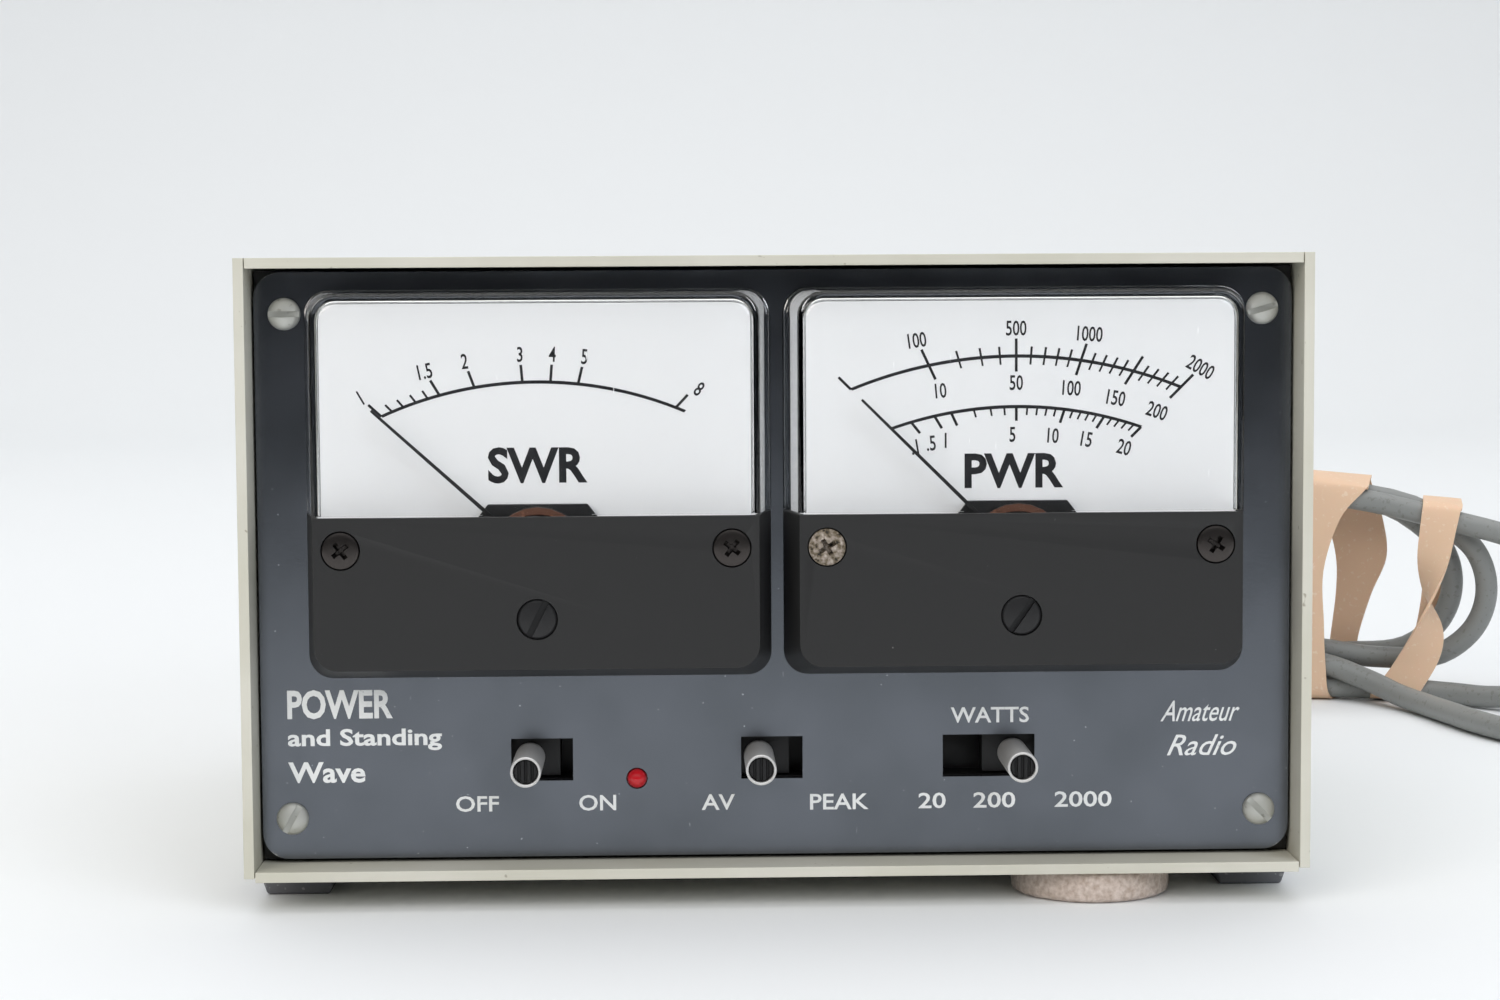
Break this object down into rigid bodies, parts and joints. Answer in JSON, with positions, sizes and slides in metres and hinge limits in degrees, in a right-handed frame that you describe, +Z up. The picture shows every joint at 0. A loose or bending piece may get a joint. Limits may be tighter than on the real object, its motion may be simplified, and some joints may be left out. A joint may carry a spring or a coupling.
{
  "type": "swr meter",
  "caption": "Desk-top meter for a radio transmitter, showing standing-wave ratio and power on two needle dials, with slide switches and a sensor lead tied in a hank.",
  "frame": {"origin": "on the surface the feet stand on, under the middle of the case and its knobs, without the sensor lead", "axes": "+X to the right as the user sees the front, +Y from front to back, +Z up"},
  "size_m": [0.276, 0.2659, 0.101],
  "materials": {
    "case_paint": "satin",
    "panel_paint": "semi-gloss",
    "black_steel": "satin",
    "zinc_plate": "satin",
    "foot_rubber": "matt",
    "felt": "matt",
    "black_phenolic": "satin",
    "matt_black_cover": "matt",
    "clear_acrylic": "polished",
    "dial_paint": "matt",
    "magnet_steel": "ground",
    "copper_wire": "enamelled",
    "black_enamel": "satin",
    "bright_tube": "satin",
    "red_lens": "polished",
    "board_laminate": "satin",
    "battery_can": "satin",
    "cord_jacket": "satin",
    "plug_nickel": "satin",
    "band_rubber": "matt"
  },
  "bodies": {
    "chassis": {"chassis_pan": "case_paint", "top_cover": "case_paint", "left_side_panel": "case_paint", "right_side_panel": "case_paint", "front_panel": "panel_paint", "front_frame": "black_steel", "panel_screw_top_left": "zinc_plate", "panel_screw_top_right": "zinc_plate", "panel_screw_bottom_left": "zinc_plate", "panel_screw_bottom_right": "zinc_plate", "side_screw_left_front": "zinc_plate", "side_screw_left_back": "zinc_plate", "side_screw_right_front": "zinc_plate", "side_screw_right_back": "zinc_plate", "foot_front_left": "foot_rubber", "foot_back_left": "foot_rubber", "foot_front_right": "foot_rubber", "foot_back_right": "foot_rubber", "felt_pad": "felt", "swr_meter_housing": "black_phenolic", "swr_meter_magnet_yoke": "magnet_steel", "swr_meter_dial_plate": "dial_paint", "swr_meter_bridge": "black_enamel", "swr_meter_cover_screw_left": "black_enamel", "swr_meter_cover_screw_right": "black_enamel", "swr_meter_window": "clear_acrylic", "swr_meter_lower_cover": "matt_black_cover", "power_meter_housing": "black_phenolic", "power_meter_magnet_yoke": "magnet_steel", "power_meter_dial_plate": "dial_paint", "power_meter_bridge": "black_enamel", "power_meter_cover_screw_left": "black_enamel", "power_meter_cover_screw_right": "black_enamel", "power_meter_window": "clear_acrylic", "power_meter_lower_cover": "matt_black_cover", "power_switch_body": "black_steel", "average_peak_switch_body": "black_steel", "range_switch_body": "black_steel", "power_lamp": "red_lens", "circuit_board": "board_laminate", "battery": "battery_can", "cable_hank": "cord_jacket", "cable_lead": "cord_jacket", "cable_tail": "cord_jacket", "cable_strain_relief": "matt_black_cover", "sensor_plug": "plug_nickel", "rubber_band_left": "band_rubber", "rubber_band_right": "band_rubber"},
    "swr_movement": {"swr_meter_needle": "black_enamel", "swr_meter_coil": "copper_wire"},
    "swr_zero_adjuster": {"swr_meter_zero_screw": "black_phenolic"},
    "power_movement": {"power_meter_needle": "black_enamel", "power_meter_coil": "copper_wire"},
    "power_zero_adjuster": {"power_meter_zero_screw": "black_phenolic"},
    "power_switch_slide": {"power_switch_slider": "black_enamel", "power_switch_knob_sleeve": "bright_tube"},
    "average_peak_switch_slide": {"average_peak_switch_slider": "black_enamel", "average_peak_switch_knob_sleeve": "bright_tube"},
    "range_switch_slide": {"range_switch_slider": "black_enamel", "range_switch_knob_sleeve": "bright_tube"}
  },
  "joints": [
    {"name": "swr_needle_swing", "type": "hinge", "parent": "chassis", "child": "swr_movement", "pos_m": [-0.0368, -0.0666, 0.055], "axis": [0, 1, 0], "range_deg": [0, 94], "stiffness_Nm_per_rad": 0.0001, "springref_deg": -20.05},
    {"name": "swr_zero_turn", "type": "hinge", "parent": "chassis", "child": "swr_zero_adjuster", "pos_m": [-0.0368, -0.0666, 0.0459], "axis": [0, 1, 0], "continuous": true},
    {"name": "power_needle_swing", "type": "hinge", "parent": "chassis", "child": "power_movement", "pos_m": [0.0371, -0.0666, 0.055], "axis": [0, 1, 0], "range_deg": [0, 92], "stiffness_Nm_per_rad": 0.0001, "springref_deg": -20.05},
    {"name": "power_zero_turn", "type": "hinge", "parent": "chassis", "child": "power_zero_adjuster", "pos_m": [0.0371, -0.0666, 0.0459], "axis": [0, 1, 0], "continuous": true},
    {"name": "power_switch_travel", "type": "slide", "parent": "chassis", "child": "power_switch_slide", "axis": [1, 0, 0], "range_m": [0, 0.004]},
    {"name": "average_peak_switch_travel", "type": "slide", "parent": "chassis", "child": "average_peak_switch_slide", "axis": [1, 0, 0], "range_m": [0, 0.004]},
    {"name": "range_switch_travel", "type": "slide", "parent": "chassis", "child": "range_switch_slide", "axis": [1, 0, 0], "range_m": [-0.008, 0]}
  ]
}
